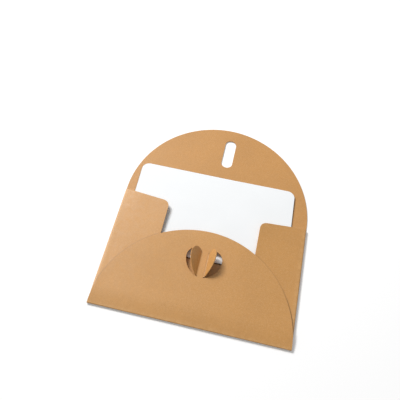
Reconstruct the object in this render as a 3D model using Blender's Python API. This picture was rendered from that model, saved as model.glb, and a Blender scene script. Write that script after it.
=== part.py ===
"""A small folded envelope of kraft board with a blank card drawn half out of its pocket.

The envelope lies on its back, opened. X runs across it, Y runs from the bottom fold to the
tip of the top flap, Z points up. The origin is the centre of the back panel's underside.
All lengths are in metres and all angles in degrees.
"""

import math

import bmesh
import bpy
from mathutils import Vector

# Sheets
BOARD = 0.0004
CARD_BOARD = 0.0004
GAP = 0.0003

# Body between its outer folds
BODY_WIDTH = 0.100
BODY_HEIGHT = 0.070

# Front flap, measured from the bottom fold, which is pressed flatter than the stack above it
FRONT_FLAP_REACH = 0.0531
FRONT_FOLD_RADIUS = 0.0007

# Top flap, measured from its crease. The slot starts a tuck past the heart's highest point
# on the closed envelope and ends short of the flap's tip
TOP_FLAP_REACH = 0.0585
TOP_FLAP_SIDE = 0.0020
SLOT_TUCK = 0.0033
SLOT_TO_TIP = 0.0078
SLOT_WIDTH = 0.0062

# Side flaps, measured from the side folds and from the bottom fold
SIDE_FLAP_REACH = 0.0250
SIDE_FLAP_START = 0.0100
SIDE_FLAP_TAPER = 0.0031
SIDE_FLAP_CORNER = 0.0040
SIDE_FLAP_LIFT = 0.0015

# Heart cut in the front flap, measured from the bottom fold and from the middle line
HEART_LOBE_HEIGHT = 0.0372
HEART_LOBE_SPREAD = 0.0034
HEART_LOBE_RADIUS = 0.00555
HEART_SIDE_RADIUS = 0.0115
WING_FOLD_PLACE = 0.0020
WING_ROOT_ROUNDING = 0.00015
LEFT_WING_RAISE = 45
RIGHT_WING_RAISE = 62

# Card
CARD_WIDTH = 0.0866
CARD_LENGTH = 0.0546
CARD_CORNER = 0.0042
CARD_STAND_OUT = 0.0218
CARD_ASIDE = -0.0016
CARD_TURN = 1.4

# Counts of straight pieces in curved outlines and folds
ARC_STEPS = 56
CORNER_STEPS = 8
SLOT_STEPS = 14
LOBE_STEPS = 16
FOLD_STEPS = 8
LIFT_STEPS = 6
DROP_STEPS = 6
ROUNDING_STEPS = 3

# Merge distance for the loose caps of a filled outline
WELD = 0.000001

KRAFT = (0.61, 0.40, 0.19, 1.0)
KRAFT_INSIDE = (0.57, 0.36, 0.165, 1.0)
CARD_WHITE = (0.93, 0.93, 0.92, 1.0)
KRAFT_ROUGHNESS = 0.82
CARD_ROUGHNESS = 0.60

# The card lies on the back panel, and the side flaps over the card. These are undersides.
CARD_LEVEL = BOARD + GAP
SIDE_LEVEL = CARD_LEVEL + CARD_BOARD + GAP
SIDE_FOLD_RADIUS = (SIDE_LEVEL + BOARD) / 2

# Places of the folds
BOTTOM_Y = -BODY_HEIGHT / 2
CREASE_Y = BODY_HEIGHT / 2
FRONT_FOLD_Y = BOTTOM_Y + FRONT_FOLD_RADIUS
SIDE_FOLD_X = BODY_WIDTH / 2 - SIDE_FOLD_RADIUS

# The side flaps' lower and upper ends
SIDE_FLAP_BOTTOM = BOTTOM_Y + SIDE_FLAP_START
SIDE_FLAP_TOP = CREASE_Y - GAP
SIDE_FLAP_LENGTH = SIDE_FLAP_TOP - SIDE_FLAP_BOTTOM

# The front flap lies parallel to the side flaps' inner edges, and comes down to its fold
# in the stretch below them
FRONT_SLOPE = SIDE_FLAP_LIFT / SIDE_FLAP_LENGTH
FRONT_FLAP_TILT = math.degrees(math.atan(FRONT_SLOPE))
FRONT_DROP_LENGTH = SIDE_FLAP_BOTTOM - FRONT_FOLD_Y
FRONT_LEVEL = SIDE_LEVEL + BOARD + GAP - FRONT_SLOPE * FRONT_DROP_LENGTH
FRONT_DROP = FRONT_LEVEL + BOARD - 2 * FRONT_FOLD_RADIUS
FRONT_MIDDLE = FRONT_FOLD_RADIUS - BOARD / 2 + FRONT_DROP

# The closed top flap passes over the raised corners of the side flaps
SIDE_CORNER_TOP = SIDE_LEVEL + BOARD + SIDE_FLAP_LIFT
CREASE_HEIGHT = (SIDE_CORNER_TOP + GAP + BOARD) / 2

# Where the slot starts on the top flap, from the crease
SLOT_START = BODY_HEIGHT - HEART_LOBE_HEIGHT - HEART_LOBE_RADIUS + SLOT_TUCK


def remove_everything():
    """Empty the scene."""
    for obj in list(bpy.data.objects):
        bpy.data.objects.remove(obj, do_unlink=True)


def new_collection(name):
    """A collection for the envelope's pieces."""
    collection = bpy.data.collections.new(name)
    bpy.context.scene.collection.children.link(collection)
    return collection


def finish(name, colour, roughness):
    """A plain matt material."""
    material = bpy.data.materials.new(name)
    material.use_nodes = True
    shader = material.node_tree.nodes["Principled BSDF"]
    shader.inputs["Base Color"].default_value = colour
    shader.inputs["Roughness"].default_value = roughness
    shader.inputs["Metallic"].default_value = 0
    material.diffuse_color = colour
    return material


def arc(centre, half_width, half_height, start, end, steps):
    """Points on an ellipse from one angle to another, both in radians."""
    points = []
    for i in range(steps + 1):
        angle = start + (end - start) * i / steps
        x = centre[0] + half_width * math.cos(angle)
        y = centre[1] + half_height * math.sin(angle)
        points.append((x, y))
    return points


def rounded(corners, steps):
    """The outline through the corners (x, y, radius), each turned on its radius."""
    points = []
    count = len(corners)
    for i, (x, y, radius) in enumerate(corners):
        here = Vector((x, y))
        if not radius:
            points.append((x, y))
            continue
        before = (Vector(corners[i - 1][:2]) - here).normalized()
        after = (Vector(corners[(i + 1) % count][:2]) - here).normalized()
        half = before.angle(after) / 2
        start = here + before * radius / math.tan(half)
        centre = here + (before + after).normalized() * radius / math.sin(half)
        first = start - centre
        sweep = math.copysign(math.pi - 2 * half, -before.cross(after))
        for k in range(steps + 1):
            angle = sweep * k / steps
            turned_x = first.x * math.cos(angle) - first.y * math.sin(angle)
            turned_y = first.x * math.sin(angle) + first.y * math.cos(angle)
            points.append((centre.x + turned_x, centre.y + turned_y))
    return points


def plate(name, outlines, thickness):
    """A flat sheet: the first outline is its edge and the others are holes through it."""
    curve = bpy.data.curves.new(name + "_outline", "CURVE")
    curve.dimensions = "2D"
    curve.fill_mode = "BOTH"
    curve.extrude = thickness / 2
    for outline in outlines:
        spline = curve.splines.new("POLY")
        spline.points.add(len(outline) - 1)
        for point, (x, y) in zip(spline.points, outline):
            point.co = (x, y, 0, 1)
        spline.use_cyclic_u = True
    flat = bpy.data.objects.new(name + "_outline", curve)
    bpy.context.scene.collection.objects.link(flat)
    depsgraph = bpy.context.evaluated_depsgraph_get()
    mesh = bpy.data.meshes.new_from_object(flat.evaluated_get(depsgraph))
    mesh.name = name
    obj = bpy.data.objects.new(name, mesh)
    obj.matrix_world = flat.matrix_world
    bpy.data.objects.remove(flat, do_unlink=True)
    shape = bmesh.new()
    shape.from_mesh(mesh)
    bmesh.ops.remove_doubles(shape, verts=shape.verts, dist=WELD)
    bmesh.ops.recalc_face_normals(shape, faces=shape.faces)
    shape.to_mesh(mesh)
    shape.free()
    return obj


def sliced(obj, direction, places):
    """Cut the sheet's faces, without parting them, by planes across a direction."""
    shape = bmesh.new()
    shape.from_mesh(obj.data)
    for place in places:
        bmesh.ops.bisect_plane(
            shape,
            geom=shape.verts[:] + shape.edges[:] + shape.faces[:],
            plane_co=direction * place,
            plane_no=direction,
            dist=WELD,
        )
    bmesh.ops.triangulate(shape, faces=shape.faces[:])
    shape.to_mesh(obj.data)
    shape.free()


def fold_length(radius):
    """The length of sheet that half a tube takes up."""
    return math.pi * (radius - BOARD / 2)


def roll_places(radius):
    """Places across the part of a sheet that is rolled into half a tube."""
    return [-fold_length(radius) * i / FOLD_STEPS for i in range(FOLD_STEPS)]


def rolled(y, depth, radius):
    """Where a point below Y = 0 lands when that part of the sheet is rolled into half a tube.

    The tube has the given outer radius and its axis at zero. The rest stays flat on top of it.
    """
    turn = math.pi * max(-y, 0) / fold_length(radius)
    reach = radius - BOARD / 2 + depth
    return max(y, 0) - reach * math.sin(turn), reach * math.cos(turn)


def panel_margin(radius):
    """How far the back panel ends from a fold's axis, clear of the tube as it turns."""
    return math.sqrt(radius**2 - (radius - BOARD) ** 2) + GAP


def make_back_panel():
    """The sheet that lies underneath, between the three folds and the top crease."""
    wide = BODY_WIDTH / 2
    narrow = SIDE_FOLD_X - panel_margin(SIDE_FOLD_RADIUS)
    bottom = FRONT_FOLD_Y + panel_margin(FRONT_FOLD_RADIUS)
    top = CREASE_Y - GAP / 2
    shoulder = SIDE_FLAP_BOTTOM - GAP
    right = [(wide, bottom), (wide, shoulder), (narrow, shoulder), (narrow, top)]
    left = [(-x, y) for x, y in reversed(right)]
    panel = plate("back_panel", [right + left], BOARD)
    panel.location = (0, 0, BOARD / 2)
    return panel


def make_top_flap():
    """The long rounded flap with the slot that the heart's wings pass through."""
    half = BODY_WIDTH / 2
    edge = [(-half, GAP / 2), (half, GAP / 2)]
    rise = TOP_FLAP_REACH - TOP_FLAP_SIDE
    edge += arc((0, TOP_FLAP_SIDE), half, rise, 0, math.pi, ARC_STEPS)
    slot_radius = SLOT_WIDTH / 2
    low = SLOT_START + slot_radius
    high = TOP_FLAP_REACH - SLOT_TO_TIP - slot_radius
    slot = arc((0, high), slot_radius, slot_radius, 0, math.pi, SLOT_STEPS)
    slot += arc((0, low), slot_radius, slot_radius, math.pi, 2 * math.pi, SLOT_STEPS)
    flap = plate("top_flap", [edge, slot], BOARD)
    for vertex in flap.data.vertices:
        vertex.co.z += BOARD / 2 - CREASE_HEIGHT
    flap.location = (0, CREASE_Y, CREASE_HEIGHT)
    return flap


def half_heart(side, fold_place, margin):
    """Half of the heart beyond its fold, grown by a margin, seen from the front fold's axis.

    A long arc runs from the heart's tip up to its widest point, and the lobe's arc from there.
    """
    level = HEART_LOBE_HEIGHT - FRONT_FOLD_RADIUS
    inset = HEART_LOBE_SPREAD + HEART_LOBE_RADIUS - HEART_SIDE_RADIUS
    side_radius = HEART_SIDE_RADIUS + margin
    lobe_radius = HEART_LOBE_RADIUS + margin
    lowest = -math.acos((fold_place - inset) / side_radius)
    highest = math.acos((fold_place - HEART_LOBE_SPREAD) / lobe_radius)
    points = arc((inset, level), side_radius, side_radius, lowest, 0, LOBE_STEPS)
    lobe = arc((HEART_LOBE_SPREAD, level), lobe_radius, lobe_radius, 0, highest, LOBE_STEPS)
    return [(side * x, y) for x, y in points + lobe[1:]]


def make_front_flap():
    """The rounded flap folded up over the pocket, with the heart cut through it."""
    half = BODY_WIDTH / 2
    start = math.asin(FRONT_FOLD_RADIUS / FRONT_FLAP_REACH)
    roll = fold_length(FRONT_FOLD_RADIUS)
    edge = [(-half, -roll), (half, -roll)]
    centre = (0, -FRONT_FOLD_RADIUS)
    edge += arc(centre, half, FRONT_FLAP_REACH, start, math.pi - start, ARC_STEPS)
    strip = WING_FOLD_PLACE - BOARD / 2 - GAP
    holes = [half_heart(side, strip, GAP) for side in (-1, 1)]
    flap = plate("front_flap", [edge] + holes, BOARD)
    drop_places = [FRONT_DROP_LENGTH * (i + 1) / DROP_STEPS for i in range(DROP_STEPS)]
    sliced(flap, Vector((0, 1, 0)), roll_places(FRONT_FOLD_RADIUS) + drop_places)
    for vertex in flap.data.vertices:
        x, y, depth = vertex.co
        inward, level = rolled(y, depth, FRONT_FOLD_RADIUS)
        risen = min(max(y / FRONT_DROP_LENGTH, 0), 1)
        level += FRONT_DROP * math.sin(risen * math.pi / 2)
        vertex.co = (x, inward, level)
    flap.location = (0, FRONT_FOLD_Y, FRONT_FOLD_RADIUS)
    flap.rotation_euler = (math.radians(FRONT_FLAP_TILT), 0, 0)
    return flap


def make_side_flap(name, side):
    """A tapered flap folded in over the card, with its upper inner corner standing up."""
    reach = SIDE_FLAP_REACH - SIDE_FOLD_RADIUS
    roll = fold_length(SIDE_FOLD_RADIUS)
    low = SIDE_FLAP_BOTTOM
    high = SIDE_FLAP_TOP
    corners = [
        (low, -roll, 0),
        (high, -roll, 0),
        (high, 0, 0),
        (high - SIDE_FLAP_TAPER, reach, SIDE_FLAP_CORNER),
        (low + SIDE_FLAP_TAPER, reach, SIDE_FLAP_CORNER),
        (low, 0, 0),
    ]
    turned = [(side * along, inward, radius) for along, inward, radius in corners]
    flap = plate(name, [rounded(turned, CORNER_STEPS)], BOARD)
    steps = range(1, LIFT_STEPS)
    across = [reach * i / LIFT_STEPS for i in steps]
    sliced(flap, Vector((0, 1, 0)), roll_places(SIDE_FOLD_RADIUS) + across)
    spread = [side * (low + SIDE_FLAP_LENGTH * i / LIFT_STEPS) for i in steps]
    sliced(flap, Vector((1, 0, 0)), spread)
    for vertex in flap.data.vertices:
        x, y, depth = vertex.co
        inward, level = rolled(y, depth, SIDE_FOLD_RADIUS)
        in_share = max(y, 0) / reach
        up_share = (side * x - low) / SIDE_FLAP_LENGTH
        vertex.co = (x, inward, level + SIDE_FLAP_LIFT * up_share * in_share)
    flap.location = (side * SIDE_FOLD_X, 0, SIDE_FOLD_RADIUS)
    flap.rotation_euler = (0, 0, side * math.pi / 2)
    return flap


def make_wing(name, side, raise_angle, flap):
    """Half of the heart, turned up out of the front flap on its own straight fold."""
    root = -BOARD / 2
    points = half_heart(1, WING_FOLD_PLACE, 0)
    local = [(x - WING_FOLD_PLACE, y) for x, y in points]
    local += [(root, local[-1][1]), (root, local[0][1])]
    wing = plate(name, [[(side * x, y) for x, y in local]], BOARD)
    shape = bmesh.new()
    shape.from_mesh(wing.data)
    edges = []
    for edge in shape.edges:
        at_root = all(abs(v.co.x - side * root) < WELD for v in edge.verts)
        if at_root and abs(edge.verts[0].co.z - edge.verts[1].co.z) < WELD:
            edges.append(edge)
    bmesh.ops.bevel(
        shape,
        geom=edges,
        offset=WING_ROOT_ROUNDING,
        segments=ROUNDING_STEPS,
        profile=0.5,
        affect="EDGES",
    )
    bmesh.ops.triangulate(shape, faces=shape.faces[:])
    shape.to_mesh(wing.data)
    shape.free()
    wing.parent = flap
    wing.location = (side * WING_FOLD_PLACE, 0, FRONT_MIDDLE)
    wing.rotation_euler = (0, -side * math.radians(raise_angle), 0)
    return wing


def make_card():
    """The blank card, a little askew, drawn half out of the pocket."""
    half = CARD_WIDTH / 2
    end = CARD_LENGTH / 2
    corners = [
        (-half, -end, CARD_CORNER),
        (half, -end, CARD_CORNER),
        (half, end, CARD_CORNER),
        (-half, end, CARD_CORNER),
    ]
    card = plate("insert_card", [rounded(corners, CORNER_STEPS)], CARD_BOARD)
    height = CARD_LEVEL + CARD_BOARD / 2
    card.location = (CARD_ASIDE, CREASE_Y + CARD_STAND_OUT - end, height)
    card.rotation_euler = (0, 0, math.radians(CARD_TURN))
    return card


def main():
    """Build the envelope and its card."""
    remove_everything()
    collection = new_collection("card_envelope")
    front_flap = make_front_flap()
    kraft_pieces = [
        make_back_panel(),
        front_flap,
        make_top_flap(),
        make_side_flap("left_side_flap", -1),
        make_side_flap("right_side_flap", 1),
        make_wing("left_heart_wing", -1, LEFT_WING_RAISE, front_flap),
        make_wing("right_heart_wing", 1, RIGHT_WING_RAISE, front_flap),
    ]
    pieces = kraft_pieces + [make_card()]
    kraft = finish("kraft_board", KRAFT, KRAFT_ROUGHNESS)
    inside = finish("kraft_inside", KRAFT_INSIDE, KRAFT_ROUGHNESS)
    white = finish("card_white", CARD_WHITE, CARD_ROUGHNESS)
    finishes = {"back_panel": inside, "top_flap": inside, "insert_card": white}
    for piece in pieces:
        collection.objects.link(piece)
        piece.data.materials.clear()
        piece.data.materials.append(finishes.get(piece.name, kraft))
    bpy.context.view_layer.update()


main()
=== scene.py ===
import math

import bmesh
import bpy
from mathutils import Euler, Matrix, Vector, noise


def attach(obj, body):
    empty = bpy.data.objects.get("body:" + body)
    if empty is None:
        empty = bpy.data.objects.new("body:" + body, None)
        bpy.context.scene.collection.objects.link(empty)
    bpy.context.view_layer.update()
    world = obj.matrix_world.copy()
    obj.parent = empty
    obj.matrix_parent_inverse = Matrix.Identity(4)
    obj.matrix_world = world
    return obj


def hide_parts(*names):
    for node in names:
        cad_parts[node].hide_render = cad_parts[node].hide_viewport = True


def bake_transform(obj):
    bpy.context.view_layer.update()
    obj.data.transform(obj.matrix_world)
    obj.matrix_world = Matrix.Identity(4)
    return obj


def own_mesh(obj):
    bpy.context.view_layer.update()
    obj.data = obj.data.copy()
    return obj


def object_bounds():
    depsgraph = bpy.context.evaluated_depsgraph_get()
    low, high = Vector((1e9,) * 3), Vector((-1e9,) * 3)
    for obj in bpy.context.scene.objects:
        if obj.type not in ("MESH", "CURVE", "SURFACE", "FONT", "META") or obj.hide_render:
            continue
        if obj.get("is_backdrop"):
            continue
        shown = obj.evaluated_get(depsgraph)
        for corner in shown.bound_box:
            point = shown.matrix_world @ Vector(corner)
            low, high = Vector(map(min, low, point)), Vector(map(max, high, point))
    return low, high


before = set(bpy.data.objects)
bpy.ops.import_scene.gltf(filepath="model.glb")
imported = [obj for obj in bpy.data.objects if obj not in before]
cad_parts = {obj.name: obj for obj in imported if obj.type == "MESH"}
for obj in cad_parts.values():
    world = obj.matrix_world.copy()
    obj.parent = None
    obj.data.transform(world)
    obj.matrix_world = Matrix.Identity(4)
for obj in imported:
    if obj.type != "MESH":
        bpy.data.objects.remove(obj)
cad_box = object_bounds()

# Lengths are in metres and angles in degrees. The camera's lens and sensor and the patterns of
# the finishes are in millimetres.
MILLIMETRE = 0.001

# The photograph's view
CAMERA_PLACE = Vector((0.00313, -0.15734, 0.27223))
CAMERA_TARGET = Vector((-0.00966, 0.03945, 0.0))
CAMERA_ROLL = 9.83
CAMERA_LENS = 55.25
CAMERA_SENSOR = 36
CAMERA_NEAR = 0.01
CAMERA_FAR = 10

# Sheets, their rounded cut edges and the gap between two that lie on each other
BOARD = 0.0004
CARD_BOARD = 0.0004
GAP = 0.0003
EDGE_ROUNDING = 0.00005
EDGE_ROUNDING_DETAIL = 1

# The folded body, as the frame has it. The two fold radii are those of the rolls' outer sides.
BODY_WIDTH = 0.100
BODY_HEIGHT = 0.070
FRONT_FOLD_RADIUS = 0.0007
CARD_LEVEL = BOARD + GAP
SIDE_FOLD_RADIUS = (CARD_LEVEL + CARD_BOARD + GAP + BOARD) / 2
BOTTOM_Y = -BODY_HEIGHT / 2
CREASE_Y = BODY_HEIGHT / 2
FRONT_FOLD_Y = BOTTOM_Y + FRONT_FOLD_RADIUS
SIDE_FOLD_X = BODY_WIDTH / 2 - SIDE_FOLD_RADIUS

# Side flaps. Each lies a little closer under the front flap than the frame's plain one, the
# left one most, and its upper inner corner curls up by more.
SIDE_FLAP_REACH = 0.0250
SIDE_FLAP_START = 0.0100
SIDE_FLAP_TAPER = 0.0031
SIDE_FLAP_CORNER = 0.0040
SIDE_FLAP_LIFT = 0.0015
LEFT_FLAP_CLOSER = 0.00015
RIGHT_FLAP_CLOSER = 0.00003
SIDE_FLAP_CURL = 0.0005
SIDE_FLAP_CURL_START_SHARE = 0.5
SIDE_TAIL_START = 0.0015
SIDE_TAIL_REACH = 0.0020
SIDE_TAIL_PRESS = 0.55
SIDE_FLAP_BOTTOM = BOTTOM_Y + SIDE_FLAP_START
SIDE_FLAP_TOP = CREASE_Y - GAP
SIDE_FLAP_LENGTH = SIDE_FLAP_TOP - SIDE_FLAP_BOTTOM

# Front flap, which comes down to its fold in the stretch below the side flaps
FRONT_FLAP_REACH = 0.0531
FRONT_SLOPE = SIDE_FLAP_LIFT / SIDE_FLAP_LENGTH
FRONT_DROP_LENGTH = SIDE_FLAP_BOTTOM - FRONT_FOLD_Y
FRONT_OVER_SIDE = 2 * SIDE_FOLD_RADIUS + GAP + BOARD - FRONT_SLOPE * FRONT_DROP_LENGTH
FRONT_DROP = FRONT_OVER_SIDE - 2 * FRONT_FOLD_RADIUS
FRONT_MIDDLE = FRONT_FOLD_RADIUS - BOARD / 2 + FRONT_DROP

# The pressed bottom fold: the sheet leans out to a tight crease and turns back over itself
CREASE_LEAN = 50
CREASE_BEND = 0.00023

# Top flap
TOP_FLAP_REACH = 0.0585
TOP_FLAP_SIDE = 0.0020
SLOT_START = 0.03055
SLOT_END = 0.0507
SLOT_WIDTH = 0.0062

# Heart, and the wings that its halves make. A strip of the front flap stands between them.
HEART_LOBE_HEIGHT = 0.0372
HEART_LOBE_SPREAD = 0.0034
HEART_LOBE_RADIUS = 0.00555
HEART_SIDE_RADIUS = 0.0115
HEART_SHOULDER_START = 45
HEART_SHOULDER_RADIUS = 0.0033
WING_FOLD_PLACE = 0.0020
WING_BEND = 0.0003
WING_CURL = 0.0003
LEFT_WING_RAISE = 45
RIGHT_WING_RAISE = 62
STRIP_HALF = WING_FOLD_PLACE - BOARD / 2 - GAP

# Card
CARD_WIDTH = 0.0866
CARD_LENGTH = 0.0546
CARD_CORNER = 0.0042
CARD_STAND_OUT = 0.0218
CARD_ASIDE = -0.0016
CARD_TURN = 1.4
CARD_LIFT = 0.00045

# Where each fold starts to turn and where it has turned, between the two bodies that it joins
CREASE_START_Y = 0.0342
CREASE_END_Y = 0.0365

# Counts of straight pieces in curves
ARC_STEPS = 150
CORNER_STEPS = 14
SLOT_STEPS = 22
LOBE_STEPS = 24
FOLD_STEPS = 18
BEND_STEPS = 8

# Spacing of the lines across a sheet, and of those across a small wing
SHEET_GRID = 0.0020
WING_GRID = 0.0011

# How far from a crease its wear has mostly faded
WEAR_WIDTH = 0.0009

# Soft unevenness of the board, which the sheets that lie on each other share
RIPPLE_LENGTH = 0.034
TOP_RIPPLE = 0.00016
TOP_RIPPLE_RISE_SHARE = 1 / 3
FRONT_RIPPLE = 0.0003
RIPPLE_START = 0.006
RIPPLE_HEART_CLEAR = 0.010
RIPPLE_HEART_FADE = 0.009
TOP_RIPPLE_SEED = 7.7
FRONT_RIPPLE_SEED = 3.1

# How meshes are cleaned and shaded
SHARP_ANGLE = 18
MERGE = 0.000001
FLAT_NORMAL = 0.999

# Linear colours. Each sheet of board has the tone of the side that it shows at rest.
KRAFT_OUTER = (0.538, 0.254, 0.056)
KRAFT_INNER = (0.526, 0.244, 0.053)
KRAFT_PALE = (0.740, 0.480, 0.230)
CARD_WHITE = (0.962, 0.978, 0.988)
FLOOR_WHITE = (0.930, 0.930, 0.930)

# In the finishes below, a cloud is its cycles per millimetre, its detail and its roughness, a
# pair is a range from low to high, and a shade is what a colour is multiplied by.

# Ranges of noise that give a finish its whole tone or gloss
BOARD_TONE_RANGE = (0.36, 0.64)
CARD_TONE_RANGE = (0.35, 0.65)
GLOSS_RANGE = (0.3, 0.7)

# Tone of the kraft board
BROAD_CLOUD = (0.045, 3.0, 0.5)
PATCHY_CLOUD = (0.35, 4.0, 0.6)
BROAD_WEIGHT = 0.6
PATCHY_WEIGHT = 0.4
BOARD_SHADES = (0.955, 1.045)

# Pale and dark fibres of the kraft board
PALE_FIBRE_RANGE = (0.60, 0.70)
PALE_FIBRE_SHARE = 0.30
PALE_FIBRE_SHADE = 1.05
DARK_FIBRE_RANGE = (0.63, 0.71)
DARK_FIBRE_SHARE = 0.28
DARK_FIBRE_SHADE = 0.62
DARK_FIBRE_SEED_STEP = 5

# Specks of the kraft board, in some of the cells of a pattern, with its cells per millimetre
SPECK_CELLS = 0.75
SPECK_EDGE = (0.05, 0.09)
SPECK_CHOICE = (0.72, 0.74)
SPECK_SHARE = 0.42
SPECK_SHADE = 0.42

# Creases of the kraft board, rubbed pale in patches
RUB_RANGE = (0.40, 0.62)
RUB_SHARES = (0.04, 0.22)
RUB_SHADE = 1.08

# Painted shade: the kraft board's colour is darkened where sheets shut it in, as in gaps and under
# flaps, within a reach in metres
PAINTED_SHADE_REACH = 0.0012
PAINTED_SHADE_SAMPLES = 16
PAINTED_SHADE_RANGE = (0.30, 1.0)
PAINTED_SHADE_SHARE = 0.90
PAINTED_SHADE_FACTOR = 0.10

# Gloss and relief of the kraft board. Where a crease is worn it is cracked too.
BOARD_ROUGHNESS = (0.45, 0.58)
BOARD_GLOSS = 0.8
FINE_CLOUD = (3.2, 3.0, 0.65)
CRACK_CLOUD = (6.0, 4.0, 0.7)
FINE_RELIEF = 0.55
PATCHY_RELIEF = 0.5
PALE_FIBRE_RELIEF = 0.45
DARK_FIBRE_RELIEF = -0.25
BOARD_BUMP = 0.5
BOARD_BUMP_HEIGHT = 0.00003

# Fibres in several directions, each with a pattern shifted from the last, and how they wander
FIBRE_TURNS = (8, 52, 97, 141)
FIBRE_SEED_TURN = 11
FIBRE_SHIFT_X = 13.1
FIBRE_SHIFT_Y = 7.9
FIBRE_LENGTH = 1.5
FIBRE_WIDTH = 0.085
FIBRE_CLOUD = (1.0, 1.0, 0.4)
WANDER_CYCLES = 0.55
WANDER_DETAIL = 1.0
WANDER_REACH = (1.3, 1.3, 0.0)

# Finish of the card
CARD_CLOUD = (0.05, 2.0, 0.55)
CARD_FINE_CLOUD = (2.6, 3.0, 0.6)
CARD_SHADES = (0.990, 1.008)
CARD_FIBRE_RANGE = (0.62, 0.74)
CARD_FIBRE_SHARE = 0.10
CARD_FIBRE_SHADE = 0.955
CARD_FIBRE_RELIEF = 0.4
CARD_ROUGHNESS = (0.48, 0.58)
CARD_GLOSS = 0.08
CARD_BUMP = 0.3
CARD_BUMP_HEIGHT = 0.00001

# How far apart the patterns of two finishes start, for each step of their seeds
SEED_SHIFT = (31.7, 17.3, 5.9)

# Floor, just under the envelope, and light
FLOOR_SIZE = 4
FLOOR_LEVEL = -0.00005
FLOOR_ROUGHNESS = 0.9
FLOOR_GLOW = 0.19
WHITE = (1.0, 1.0, 1.0, 1.0)
WORLD_STRENGTH = 0.28
SUN_DIRECTION = Vector((0.80, -0.42, -0.79))
SUN_STRENGTH = 1.70
SUN_SIZE = 14
SIDE_LAMP_PLACE = Vector((-0.27, 0.27, 0.36))
SIDE_LAMP_SIZE = 0.20
SIDE_LAMP_POWER = 1.26


def arc(centre, half_width, half_height, start, end, steps):
    """Points on an ellipse from one angle to another, both in radians."""
    points = []
    for i in range(steps + 1):
        angle = start + (end - start) * i / steps
        x = centre[0] + half_width * math.cos(angle)
        y = centre[1] + half_height * math.sin(angle)
        points.append((x, y))
    return points


def rounded(corners):
    """The outline through the corners (x, y, radius), each turned on its radius."""
    points = []
    count = len(corners)
    for i, (x, y, radius) in enumerate(corners):
        here = Vector((x, y))
        if not radius:
            points.append((x, y))
            continue
        before = (Vector(corners[i - 1][:2]) - here).normalized()
        after = (Vector(corners[(i + 1) % count][:2]) - here).normalized()
        half = before.angle(after) / 2
        centre = here + (before + after).normalized() * radius / math.sin(half)
        first = here + before * radius / math.tan(half) - centre
        sweep = math.copysign(math.pi - 2 * half, -before.cross(after))
        for k in range(CORNER_STEPS + 1):
            spoke = Matrix.Rotation(sweep * k / CORNER_STEPS, 2) @ first
            points.append((centre.x + spoke.x, centre.y + spoke.y))
    return points


def half_heart(side, fold_place, margin):
    """Half of the heart beyond its fold, grown by a margin, seen from the front fold's axis.

    A long arc runs from the heart's tip up to its widest point. The lobe's arc goes on from
    there, and a tighter one turns down to the fold.
    """
    level = HEART_LOBE_HEIGHT - FRONT_FOLD_RADIUS
    inset = HEART_LOBE_SPREAD + HEART_LOBE_RADIUS - HEART_SIDE_RADIUS
    side_radius = HEART_SIDE_RADIUS + margin
    lobe_radius = HEART_LOBE_RADIUS + margin
    lowest = -math.acos((fold_place - inset) / side_radius)
    turn = math.radians(HEART_SHOULDER_START)
    drawn_in = HEART_LOBE_RADIUS - HEART_SHOULDER_RADIUS
    shoulder = (HEART_LOBE_SPREAD + drawn_in * math.cos(turn), level + drawn_in * math.sin(turn))
    shoulder_radius = HEART_SHOULDER_RADIUS + margin
    last = math.acos((fold_place - shoulder[0]) / shoulder_radius)
    points = arc((inset, level), side_radius, side_radius, lowest, 0, LOBE_STEPS)
    points += arc((HEART_LOBE_SPREAD, level), lobe_radius, lobe_radius, 0, turn, LOBE_STEPS)[1:]
    points += arc(shoulder, shoulder_radius, shoulder_radius, turn, last, LOBE_STEPS)[1:]
    return [(side * x, y) for x, y in points]


def filled(outlines, thickness):
    """A flat sheet with rounded cut edges: its first outline is its edge, the others are holes."""
    curve = bpy.data.curves.new("outline", "CURVE")
    curve.dimensions = "2D"
    curve.fill_mode = "BOTH"
    curve.extrude = thickness / 2 - EDGE_ROUNDING
    curve.bevel_depth = EDGE_ROUNDING
    curve.bevel_resolution = EDGE_ROUNDING_DETAIL
    curve.offset = -EDGE_ROUNDING
    for outline in outlines:
        spline = curve.splines.new("POLY")
        spline.points.add(len(outline) - 1)
        for point, (x, y) in zip(spline.points, outline):
            point.co = (x, y, 0, 1)
        spline.use_cyclic_u = True
    flat = bpy.data.objects.new("outline", curve)
    bpy.context.scene.collection.objects.link(flat)
    depsgraph = bpy.context.evaluated_depsgraph_get()
    mesh = bpy.data.meshes.new_from_object(flat.evaluated_get(depsgraph))
    bpy.data.objects.remove(flat, do_unlink=True)
    return mesh


def places(low, high, spacing):
    """Evenly spaced places inside a stretch."""
    count = max(1, round((high - low) / spacing))
    return [low + (high - low) * i / count for i in range(1, count)]


def gridded(shape, columns, rows):
    """Cut the sheet along lines across X and Y, and clear the faces between the lines."""
    lines = [(Vector((1, 0, 0)), columns), (Vector((0, 1, 0)), rows)]
    for direction, distances in lines:
        for distance in distances:
            bmesh.ops.bisect_plane(
                shape,
                geom=shape.verts[:] + shape.edges[:] + shape.faces[:],
                plane_co=direction * distance,
                plane_no=direction,
                dist=MERGE,
            )
    shape.normal_update()
    spare = []
    for edge in shape.edges:
        flat = all(abs(face.normal.z) > FLAT_NORMAL for face in edge.link_faces)
        if len(edge.link_faces) == 2 and flat and not on_line(edge, columns, rows):
            spare.append(edge)
    bmesh.ops.dissolve_edges(shape, edges=spare, use_verts=False, use_face_split=False)


def on_line(edge, columns, rows):
    """Whether an edge lies along one of the lines."""
    first, second = (vertex.co for vertex in edge.verts)
    for axis, distances in enumerate((columns, rows)):
        if abs(first[axis] - second[axis]) < MERGE:
            if any(abs(first[axis] - distance) < 2 * MERGE for distance in distances):
                return True
    return False


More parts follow.
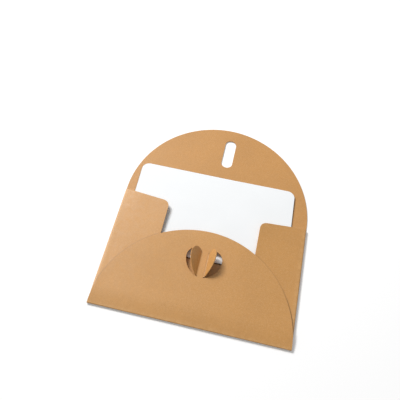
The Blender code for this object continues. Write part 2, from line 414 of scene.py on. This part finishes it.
def sheet(name, outlines, thickness, columns, rows, shaped, wear, finish):
    """A sheet cut flat, then carried to its place in the frame by a function.

    Each point keeps its place on the flat sheet and its share of crease wear as attributes,
    which the finish reads.
    """
    mesh = filled(outlines, thickness)
    mesh.name = name
    shape = bmesh.new()
    shape.from_mesh(mesh)
    bmesh.ops.remove_doubles(shape, verts=shape.verts, dist=MERGE)
    bmesh.ops.recalc_face_normals(shape, faces=shape.faces)
    gridded(shape, columns, rows)
    flat_place = shape.verts.layers.float_vector.new("flat_place")
    crease_wear = shape.verts.layers.float.new("crease_wear")
    for vertex in shape.verts:
        vertex[flat_place] = vertex.co.copy()
        vertex[crease_wear] = wear(vertex.co.x, vertex.co.y)
    for vertex in shape.verts:
        vertex.co = shaped(*vertex.co)
    bmesh.ops.recalc_face_normals(shape, faces=shape.faces)
    shape.to_mesh(mesh)
    shape.free()
    mesh.materials.append(finish)
    mesh.shade_smooth()
    mesh.set_sharp_from_angle(angle=math.radians(SHARP_ANGLE))
    piece = bpy.data.objects.new(name, mesh)
    bpy.context.scene.collection.objects.link(piece)
    return piece


def fold_length(radius):
    """The length of sheet that half a tube takes up."""
    return math.pi * (radius - BOARD / 2)


def rolled(inward, height, radius):
    """Carry a flat point into the half tube below zero: its distance inward and its height.

    The tube's axis is at zero, and the rest of the sheet lies flat on top of the tube.
    """
    middle = radius - BOARD / 2
    turn = max(-inward, 0) / middle
    reach = middle + height
    return max(inward, 0) - reach * math.sin(turn), reach * math.cos(turn)


def fold_rows(radius):
    """Lines across the half tube of a fold."""
    return [-fold_length(radius) * i / FOLD_STEPS for i in range(FOLD_STEPS)]


def faded(distance, width=WEAR_WIDTH):
    """One at a crease, fading with the distance from it."""
    return math.exp(-((distance / width) ** 2))


def smooth(value):
    """Zero below zero, one above one, and an even rise between them."""
    share = min(max(value, 0), 1)
    return share * share * (3 - 2 * share)


def ripple(x, y, height, seed):
    """The board's soft unevenness."""
    return height * noise.noise(Vector((x / RIPPLE_LENGTH, y / RIPPLE_LENGTH, seed)))


def front_ripple(x, y):
    """The unevenness that the front flap and the side flaps under it share, by row place."""
    up_from_fold = smooth((y - SIDE_FLAP_BOTTOM) / RIPPLE_START)
    in_from_side = smooth((BODY_WIDTH / 2 - abs(x)) / RIPPLE_START)
    heart_middle = BOTTOM_Y + HEART_LOBE_HEIGHT - HEART_LOBE_SPREAD
    distance = math.hypot(x, y - heart_middle) - RIPPLE_HEART_CLEAR
    from_heart = smooth(distance / RIPPLE_HEART_FADE)
    uneven = ripple(x, y, FRONT_RIPPLE, FRONT_RIPPLE_SEED)
    return up_from_fold * in_from_side * from_heart * uneven


def front_frame():
    """Where the front flap's own axes lie in the row frame."""
    turned = Euler((math.atan(FRONT_SLOPE), 0, 0)).to_matrix().to_4x4()
    return Matrix.Translation((0, FRONT_FOLD_Y, FRONT_FOLD_RADIUS)) @ turned


def make_back_sheet(finish):
    """The sheet that lies underneath, up to where its folds begin."""
    corners = [
        (-SIDE_FOLD_X, FRONT_FOLD_Y),
        (SIDE_FOLD_X, FRONT_FOLD_Y),
        (SIDE_FOLD_X, CREASE_START_Y),
        (-SIDE_FOLD_X, CREASE_START_Y),
    ]

    def shaped(x, y, height):
        return Vector((x, y, BOARD / 2 + height))

    def wear(x, y):
        return faded(CREASE_START_Y - y)

    columns = places(-SIDE_FOLD_X, SIDE_FOLD_X, SHEET_GRID)
    rows = places(FRONT_FOLD_Y, CREASE_START_Y, SHEET_GRID)
    piece = sheet("back_sheet", [corners], BOARD, columns, rows, shaped, wear, finish)
    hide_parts("back_panel")
    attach(piece, "back_panel")


def creased(along, height):
    """Carry a flat point of the bottom fold to its distance inward and height in the row frame.

    The path runs from the back panel's edge, zero, leaning out and up, turns over a tight bend
    at the envelope's outer line, and comes back in over zero. Along counts as a share of it.
    """
    lean = math.radians(CREASE_LEAN)
    back = math.pi - math.atan(FRONT_DROP / FRONT_DROP_LENGTH * math.pi / 2 + FRONT_SLOPE)
    bend = CREASE_BEND
    outermost = FRONT_FOLD_RADIUS - BOARD / 2
    first = (outermost - bend * (1 - math.sin(lean))) / math.cos(lean)
    turn = bend * (back - lean)
    bend_y = -first * math.cos(lean) + bend * (math.sin(lean) - math.sin(back))
    last = bend_y / math.cos(back)
    distance = along * (first + turn + last)
    straight = min(distance, first)
    heading = lean + min(max(distance - first, 0), turn) / bend
    rest = max(distance - first - turn, 0)
    y = -straight * math.cos(lean) + bend * (math.sin(lean) - math.sin(heading))
    z = straight * math.sin(lean) + bend * (math.cos(lean) - math.cos(heading))
    y -= rest * math.cos(heading) + height * math.sin(heading)
    z += rest * math.sin(heading) - height * math.cos(heading)
    return y, z + BOARD / 2


def make_front_sheet(finish):
    """The rounded front flap with its bottom fold and the heart's two holes."""
    half = BODY_WIDTH / 2
    roll = fold_length(FRONT_FOLD_RADIUS)
    lowest = math.asin(FRONT_FOLD_RADIUS / FRONT_FLAP_REACH)
    edge = [(-half, -roll), (half, -roll)]
    centre = (0, -FRONT_FOLD_RADIUS)
    edge += arc(centre, half, FRONT_FLAP_REACH, lowest, math.pi - lowest, ARC_STEPS)
    holes = [half_heart(side, STRIP_HALF, GAP) for side in (-1, 1)]
    top = FRONT_FLAP_REACH - FRONT_FOLD_RADIUS
    to_row = front_frame()
    crease_end = creased(1, 0)[1] - FRONT_FOLD_RADIUS

    def shaped(x, y, height):
        if y < 0:
            inward, level = creased(1 + y / roll, height)
            return Vector((x, FRONT_FOLD_Y + inward, level))
        along_drop = min(y / FRONT_DROP_LENGTH, 1) * math.pi / 2
        risen = math.sin(along_drop)
        steepness = math.cos(along_drop)
        tilt = math.atan(FRONT_DROP / FRONT_DROP_LENGTH * math.pi / 2 * steepness)
        level = crease_end + (FRONT_MIDDLE - crease_end) * risen + height * math.cos(tilt)
        place = to_row @ Vector((x, y - height * math.sin(tilt), level))
        place.z += front_ripple(x, place.y)
        return place

    def wear(x, y):
        return faded(max(y, 0) + max(-roll - y, 0))

    columns = places(-half, half, SHEET_GRID)
    drop_rows = places(0, FRONT_DROP_LENGTH, SHEET_GRID / 2)
    rows = fold_rows(FRONT_FOLD_RADIUS) + drop_rows + places(FRONT_DROP_LENGTH, top, SHEET_GRID)
    outlines = [edge] + holes
    piece = sheet("front_sheet", outlines, BOARD, columns, rows, shaped, wear, finish)
    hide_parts("front_flap")
    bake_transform(piece)


def make_top_sheet(finish):
    """The long rounded flap with its slot, from where its crease begins."""
    half = BODY_WIDTH / 2
    edge = [(-half, CREASE_START_Y), (half, CREASE_START_Y)]
    rise = TOP_FLAP_REACH - TOP_FLAP_SIDE
    edge += arc((0, CREASE_Y + TOP_FLAP_SIDE), half, rise, 0, math.pi, ARC_STEPS)
    radius = SLOT_WIDTH / 2
    low = CREASE_Y + SLOT_START + radius
    high = CREASE_Y + SLOT_END - radius
    slot = arc((0, high), radius, radius, 0, math.pi, SLOT_STEPS)
    slot += arc((0, low), radius, radius, math.pi, 2 * math.pi, SLOT_STEPS)

    def shaped(x, y, height):
        beyond = (y - CREASE_Y) / TOP_FLAP_REACH
        uneven = ripple(x, y, TOP_RIPPLE, TOP_RIPPLE_SEED)
        bulge = TOP_RIPPLE * smooth(beyond) + uneven * smooth(beyond / TOP_RIPPLE_RISE_SHARE)
        return Vector((x, y, BOARD / 2 + height + max(bulge, 0)))

    def wear(x, y):
        return faded(y - CREASE_Y)

    columns = places(-half, half, SHEET_GRID)
    crease_rows = places(CREASE_START_Y, CREASE_END_Y, BOARD / 2)
    rows = crease_rows + places(CREASE_END_Y, CREASE_Y + TOP_FLAP_REACH, SHEET_GRID)
    piece = sheet("top_sheet", [edge, slot], BOARD, columns, rows, shaped, wear, finish)
    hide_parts("top_flap")
    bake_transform(piece)


def make_side_sheet(word, side, closer, finish):
    """A tapered side flap with its rolled fold, its upper inner corner standing up.

    Beside the fold a narrow tail runs down to the bottom fold, pressed flatter as it goes.
    """
    reach = SIDE_FLAP_REACH - SIDE_FOLD_RADIUS
    roll = fold_length(SIDE_FOLD_RADIUS)
    low = SIDE_FLAP_BOTTOM
    high = SIDE_FLAP_TOP
    tail = BOTTOM_Y + SIDE_TAIL_START
    corners = [
        (tail, -roll, 0),
        (high, -roll, 0),
        (high, 0, 0),
        (high - SIDE_FLAP_TAPER, reach, SIDE_FLAP_CORNER),
        (low + SIDE_FLAP_TAPER, reach, SIDE_FLAP_CORNER),
        (low, SIDE_TAIL_REACH, 0),
        (tail, 0, 0),
    ]

    def shaped(along, inward, height):
        flatter = 1 - SIDE_TAIL_PRESS * smooth((low - along) / (low - tail))
        over, level = rolled(inward, height, SIDE_FOLD_RADIUS)
        middle = level - height * math.cos(math.pi * max(-inward, 0) / roll)
        level += (flatter - 1) * (middle + SIDE_FOLD_RADIUS - BOARD / 2)
        up_share = max(along - low, 0) / SIDE_FLAP_LENGTH
        in_share = max(inward, 0) / reach
        level += SIDE_FLAP_LIFT * up_share * in_share
        level += closer * smooth(inward / RIPPLE_START)
        curl_share = (up_share - SIDE_FLAP_CURL_START_SHARE) / (1 - SIDE_FLAP_CURL_START_SHARE)
        level += SIDE_FLAP_CURL * smooth(curl_share) * in_share**2
        x = side * (SIDE_FOLD_X - over)
        level += front_ripple(x, along)
        return Vector((x, along, SIDE_FOLD_RADIUS + level))

    def wear(along, inward):
        return faded(max(inward, 0))

    columns = places(tail, high, SHEET_GRID)
    rows = fold_rows(SIDE_FOLD_RADIUS) + places(0, reach, SHEET_GRID)
    name = word + "_side_sheet"
    piece = sheet(name, [rounded(corners)], BOARD, columns, rows, shaped, wear, finish)
    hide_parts(word + "_side_flap")
    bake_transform(piece)


def bent(outward, height, angle):
    """Carry a flat point over a rounded bend at zero: its distance outward and its height."""
    radius = WING_BEND / math.tan(angle / 2)
    turn = min(max((outward + WING_BEND) / (2 * WING_BEND), 0), 1) * angle
    x = radius * math.sin(turn) - WING_BEND - height * math.sin(turn)
    z = radius * (1 - math.cos(turn)) + height * math.cos(turn)
    x += min(outward + WING_BEND, 0)
    past = max(outward - WING_BEND, 0)
    return x + past * math.cos(angle), z + past * math.sin(angle)


def make_wing_sheet(word, side, raise_angle, finish):
    """Half of the heart, turned up out of the front flap over a small rounded bend."""
    root = STRIP_HALF - 2 * EDGE_ROUNDING
    half = half_heart(1, WING_FOLD_PLACE, 0)
    outline = half + [(root, half[-1][1]), (root, half[0][1])]
    widest = HEART_LOBE_SPREAD + HEART_LOBE_RADIUS - WING_FOLD_PLACE
    angle = math.radians(raise_angle)
    to_row = front_frame()

    def shaped(x, y, height):
        outward = x - WING_FOLD_PLACE
        curl = WING_CURL * (max(outward, 0) / widest) ** 2
        over, level = bent(outward, height - curl, angle)
        level += FRONT_MIDDLE
        return to_row @ Vector((side * (WING_FOLD_PLACE + over), y, level))

    def wear(x, y):
        return faded(x - WING_FOLD_PLACE, WING_BEND)

    bend_low = WING_FOLD_PLACE - WING_BEND
    bend_high = WING_FOLD_PLACE + WING_BEND
    bend_lines = places(bend_low, bend_high, 2 * WING_BEND / BEND_STEPS)
    beyond = places(bend_high, WING_FOLD_PLACE + widest, WING_GRID)
    columns = [bend_low] + bend_lines + [bend_high] + beyond
    rows = places(half[0][1], HEART_LOBE_HEIGHT + HEART_LOBE_RADIUS, WING_GRID)
    name = word + "_wing_sheet"
    piece = sheet(name, [outline], BOARD, columns, rows, shaped, wear, finish)
    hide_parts(word + "_heart_wing")
    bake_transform(piece)


def make_card_sheet(finish):
    """The blank card, a little askew, drawn half out, with one corner a little off the flap."""
    half = CARD_WIDTH / 2
    end = CARD_LENGTH / 2
    corners = [(-half, -end), (half, -end), (half, end), (-half, end)]
    outline = rounded([(x, y, CARD_CORNER) for x, y in corners])
    middle = Vector((CARD_ASIDE, CREASE_Y + CARD_STAND_OUT - end, CARD_LEVEL + CARD_BOARD / 2))
    to_row = Matrix.Translation(middle) @ Matrix.Rotation(math.radians(CARD_TURN), 4, "Z")

    def shaped(x, y, height):
        lift = CARD_LIFT * smooth(x / half) * smooth(y / end)
        return to_row @ Vector((x, y, height + lift))

    def wear(x, y):
        return 0

    columns = places(-half, half, SHEET_GRID)
    rows = places(-end, end, SHEET_GRID)
    piece = sheet("card_sheet", [outline], CARD_BOARD, columns, rows, shaped, wear, finish)
    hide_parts("insert_card")
    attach(piece, "insert_card")
    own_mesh(piece)


def node(tree, kind, inputs=None, **settings):
    """Add a node, with its settings and its inputs, which are values or other nodes' sockets."""
    made = tree.nodes.new("ShaderNode" + kind)
    for key, value in settings.items():
        setattr(made, key, value)
    for key, value in (inputs or {}).items():
        if isinstance(value, bpy.types.NodeSocket):
            tree.links.new(value, made.inputs[key])
        else:
            made.inputs[key].default_value = value
    return made


def maths(tree, operation, first, second):
    """A sum or product of two values or sockets."""
    return node(tree, "Math", {0: first, 1: second}, operation=operation).outputs[0]


def vectors(tree, operation, first, second):
    """A sum or product of two vectors or sockets."""
    return node(tree, "VectorMath", {0: first, 1: second}, operation=operation).outputs[0]


def weighed(tree, terms):
    """The sum of values, each times its weight."""
    total = None
    for value, weight in terms:
        part = maths(tree, "MULTIPLY", value, weight)
        total = part if total is None else maths(tree, "ADD", total, part)
    return total


def mapped(tree, value, source, target=(0.0, 1.0)):
    """A value carried from one range to another, and held inside it."""
    inputs = {"Value": value, "From Min": source[0], "From Max": source[1]}
    inputs["To Min"] = target[0]
    inputs["To Max"] = target[1]
    return node(tree, "MapRange", inputs).outputs["Result"]


def mixed(tree, share, first, second):
    """A colour between two others, which are colours or sockets."""
    # The node's inputs 6 and 7 are its two colours.
    inputs = {0: share, 6: first, 7: second}
    return node(tree, "Mix", inputs, data_type="RGBA").outputs[2]


def shade(colour, factor):
    """A colour made lighter or darker, with its alpha."""
    return tuple(channel * factor for channel in colour) + (1.0,)


def sheet_place(tree, seed):
    """Places on the flat sheet in millimetres, shifted so that no two finishes match."""
    flat = node(tree, "Attribute", attribute_name="flat_place").outputs["Vector"]
    scaled = vectors(tree, "MULTIPLY", flat, (1 / MILLIMETRE,) * 3)
    return vectors(tree, "ADD", scaled, tuple(step * seed for step in SEED_SHIFT))


def cloud(tree, place, recipe):
    """Soft noise, with its cycles per millimetre, its detail and its roughness."""
    scale, detail, roughness = recipe
    inputs = {"Vector": place, "Scale": scale, "Detail": detail, "Roughness": roughness}
    return node(tree, "TexNoise", inputs).outputs["Fac"]


def fibres(tree, place, seed, bounds):
    """Thin wandering fibres in several directions, as a share from zero to one."""
    inputs = {"Vector": place, "Scale": WANDER_CYCLES, "Detail": WANDER_DETAIL}
    noisy = node(tree, "TexNoise", inputs).outputs["Color"]
    wandering = vectors(tree, "ADD", place, vectors(tree, "MULTIPLY", noisy, WANDER_REACH))
    stretch = (1 / FIBRE_LENGTH, 1 / FIBRE_WIDTH, 1)
    total = None
    for i, degrees in enumerate(FIBRE_TURNS):
        turn = (0, 0, math.radians(degrees + FIBRE_SEED_TURN * seed))
        shift = (FIBRE_SHIFT_X * i + seed, FIBRE_SHIFT_Y * i, seed)
        inputs = {"Vector": wandering, "Rotation": turn, "Location": shift}
        turned = node(tree, "Mapping", inputs).outputs[0]
        stretched = vectors(tree, "MULTIPLY", turned, stretch)
        line = mapped(tree, cloud(tree, stretched, FIBRE_CLOUD), bounds)
        total = line if total is None else maths(tree, "MAXIMUM", total, line)
    return total


def specks(tree, place):
    """Small dots in some of the cells of a pattern, as a share from zero to one."""
    cells = node(tree, "TexVoronoi", {"Vector": place, "Scale": SPECK_CELLS}).outputs
    dot = mapped(tree, cells["Distance"], SPECK_EDGE, (1.0, 0.0))
    drawn = node(tree, "SeparateColor", {0: cells["Color"]}).outputs[0]
    return maths(tree, "MULTIPLY", dot, mapped(tree, drawn, SPECK_CHOICE))


def painted_gap_shade(tree):
    """Painted shade: how closely a place is shut in by the sheets around it, as a share from zero
    to one, by which the board's colour is darkened.
    """
    around = node(tree, "AmbientOcclusion", {"Distance": PAINTED_SHADE_REACH}, samples=PAINTED_SHADE_SAMPLES)
    return mapped(tree, around.outputs["AO"], PAINTED_SHADE_RANGE, (1.0, 0.0))


def new_finish(name):
    """A new material, its node tree and its shader."""
    material = bpy.data.materials.new(name)
    material.use_nodes = True
    tree = material.node_tree
    return material, tree, tree.nodes["Principled BSDF"]


def add_relief(tree, shader, relief, strength, height):
    """Let a finish's relief turn the light on it."""
    inputs = {"Height": relief, "Strength": strength, "Distance": height}
    tree.links.new(node(tree, "Bump", inputs).outputs[0], shader.inputs["Normal"])


def board_finish(name, colour, seed):
    """Uncoated kraft board: cloudy tone, light and dark fibres, specks, worn creases, and painted
    shade where sheets shut it in.
    """
    material, tree, shader = new_finish(name)
    place = sheet_place(tree, seed)
    worn = node(tree, "Attribute", attribute_name="crease_wear").outputs["Fac"]
    patchy = cloud(tree, place, PATCHY_CLOUD)
    pale_fibre = fibres(tree, place, seed, PALE_FIBRE_RANGE)
    dark_fibre = fibres(tree, place, seed + DARK_FIBRE_SEED_STEP, DARK_FIBRE_RANGE)

    broad = cloud(tree, place, BROAD_CLOUD)
    tone = weighed(tree, [(broad, BROAD_WEIGHT), (patchy, PATCHY_WEIGHT)])
    darkest, lightest = (shade(colour, factor) for factor in BOARD_SHADES)
    base = mixed(tree, mapped(tree, tone, BOARD_TONE_RANGE), darkest, lightest)
    rub_share = mapped(tree, patchy, RUB_RANGE, RUB_SHARES)
    marks = [
        (pale_fibre, PALE_FIBRE_SHARE, shade(KRAFT_PALE, PALE_FIBRE_SHADE)),
        (dark_fibre, DARK_FIBRE_SHARE, shade(colour, DARK_FIBRE_SHADE)),
        (specks(tree, place), SPECK_SHARE, shade(colour, SPECK_SHADE)),
        (worn, rub_share, shade(KRAFT_PALE, RUB_SHADE)),
        # Painted shade: the colour is darkened in gaps and under sheets, where shade falls.
        (painted_gap_shade(tree), PAINTED_SHADE_SHARE, shade(colour, PAINTED_SHADE_FACTOR)),
    ]
    for mark, share, mark_colour in marks:
        base = mixed(tree, maths(tree, "MULTIPLY", mark, share), base, mark_colour)
    tree.links.new(base, shader.inputs["Base Color"])

    roughness = mapped(tree, patchy, GLOSS_RANGE, BOARD_ROUGHNESS)
    tree.links.new(roughness, shader.inputs["Roughness"])
    shader.inputs["Specular IOR Level"].default_value = BOARD_GLOSS

    terms = [
        (cloud(tree, place, FINE_CLOUD), FINE_RELIEF),
        (patchy, PATCHY_RELIEF),
        (pale_fibre, PALE_FIBRE_RELIEF),
        (dark_fibre, DARK_FIBRE_RELIEF),
        (cloud(tree, place, CRACK_CLOUD), worn),
    ]
    add_relief(tree, shader, weighed(tree, terms), BOARD_BUMP, BOARD_BUMP_HEIGHT)
    return material


def card_finish(name, colour, seed):
    """Smooth white card, with the faintest cloudiness and fibre."""
    material, tree, shader = new_finish(name)
    place = sheet_place(tree, seed)
    broad = cloud(tree, place, CARD_CLOUD)
    fine = cloud(tree, place, CARD_FINE_CLOUD)
    thread = fibres(tree, place, seed, CARD_FIBRE_RANGE)
    darkest, lightest = (shade(colour, factor) for factor in CARD_SHADES)
    base = mixed(tree, mapped(tree, broad, CARD_TONE_RANGE), darkest, lightest)
    thread_share = maths(tree, "MULTIPLY", thread, CARD_FIBRE_SHARE)
    base = mixed(tree, thread_share, base, shade(colour, CARD_FIBRE_SHADE))
    tree.links.new(base, shader.inputs["Base Color"])
    roughness = mapped(tree, fine, GLOSS_RANGE, CARD_ROUGHNESS)
    tree.links.new(roughness, shader.inputs["Roughness"])
    shader.inputs["Specular IOR Level"].default_value = CARD_GLOSS
    relief = weighed(tree, [(fine, 1.0), (thread, CARD_FIBRE_RELIEF)])
    add_relief(tree, shader, relief, CARD_BUMP, CARD_BUMP_HEIGHT)
    return material


def seen_directly(tree):
    """One for camera rays and for rays by gloss or through glass, otherwise zero."""
    rays = node(tree, "LightPath").outputs
    glossy = maths(tree, "MAXIMUM", rays["Is Camera Ray"], rays["Is Glossy Ray"])
    return maths(tree, "MAXIMUM", glossy, rays["Is Transmission Ray"])


def make_floor():
    """A plain white floor that keeps the shadow, a little brighter where it is looked at."""
    bpy.ops.mesh.primitive_plane_add(size=FLOOR_SIZE, location=(0, 0, FLOOR_LEVEL))
    floor = bpy.context.object
    floor.name = "floor"
    material, tree, shader = new_finish("floor_white")
    shader.inputs["Base Color"].default_value = FLOOR_WHITE + (1.0,)
    shader.inputs["Roughness"].default_value = FLOOR_ROUGHNESS
    shader.inputs["Specular IOR Level"].default_value = 0.0
    shader.inputs["Emission Color"].default_value = WHITE
    glow = maths(tree, "MULTIPLY", seen_directly(tree), FLOOR_GLOW)
    tree.links.new(glow, shader.inputs["Emission Strength"])
    floor.data.materials.append(material)
    floor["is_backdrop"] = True


def make_world():
    """Even soft light from all round, white where it is looked at."""
    world = bpy.data.worlds.new("world")
    world.use_nodes = True
    tree = world.node_tree
    background = tree.nodes["Background"]
    background.inputs["Color"].default_value = WHITE
    strength = mapped(tree, seen_directly(tree), (0.0, 1.0), (WORLD_STRENGTH, 1.0))
    tree.links.new(strength, background.inputs["Strength"])
    bpy.context.scene.world = world


def make_lamps():
    """A main light from above, from behind and from the left, and a softer lamp beside it."""
    sun = bpy.data.lights.new("sun", "SUN")
    sun.energy = SUN_STRENGTH
    sun.angle = math.radians(SUN_SIZE)
    sun_object = bpy.data.objects.new("sun", sun)
    sun_object.rotation_euler = SUN_DIRECTION.to_track_quat("-Z", "Y").to_euler()
    lamp = bpy.data.lights.new("side_lamp", "AREA")
    lamp.shape = "DISK"
    lamp.size = SIDE_LAMP_SIZE
    lamp.energy = SIDE_LAMP_POWER
    lamp_object = bpy.data.objects.new("side_lamp", lamp)
    lamp_object.location = SIDE_LAMP_PLACE
    aim = CAMERA_TARGET - SIDE_LAMP_PLACE
    lamp_object.rotation_euler = aim.to_track_quat("-Z", "Y").to_euler()
    for made in (sun_object, lamp_object):
        bpy.context.scene.collection.objects.link(made)


def make_camera():
    """The photograph's view, from in front and above."""
    data = bpy.data.cameras.new("camera")
    data.lens = CAMERA_LENS
    data.sensor_width = CAMERA_SENSOR
    data.sensor_fit = "HORIZONTAL"
    data.clip_start = CAMERA_NEAR
    data.clip_end = CAMERA_FAR
    camera = bpy.data.objects.new("camera", data)
    bpy.context.scene.collection.objects.link(camera)
    camera.location = CAMERA_PLACE
    aim = (CAMERA_TARGET - CAMERA_PLACE).to_track_quat("-Z", "Y").to_matrix()
    roll = Matrix.Rotation(math.radians(CAMERA_ROLL), 3, "Z")
    camera.rotation_euler = (aim @ roll).to_euler()
    bpy.context.scene.camera = camera


make_camera()
outer = board_finish("kraft_outer_side", KRAFT_OUTER, 1)
inner = board_finish("kraft_inner_side", KRAFT_INNER, 2)
card_face = card_finish("card_face", CARD_WHITE, 4)
make_back_sheet(inner)
make_front_sheet(outer)
make_top_sheet(inner)
make_side_sheet("left", -1, LEFT_FLAP_CLOSER, outer)
make_side_sheet("right", 1, RIGHT_FLAP_CLOSER, outer)
make_wing_sheet("left", -1, LEFT_WING_RAISE, outer)
make_wing_sheet("right", 1, RIGHT_WING_RAISE, outer)
make_card_sheet(card_face)
make_floor()
make_world()
make_lamps()
bpy.context.scene.view_settings.view_transform = "Standard"

[[list(corner) for corner in box] for box in (cad_box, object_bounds())]
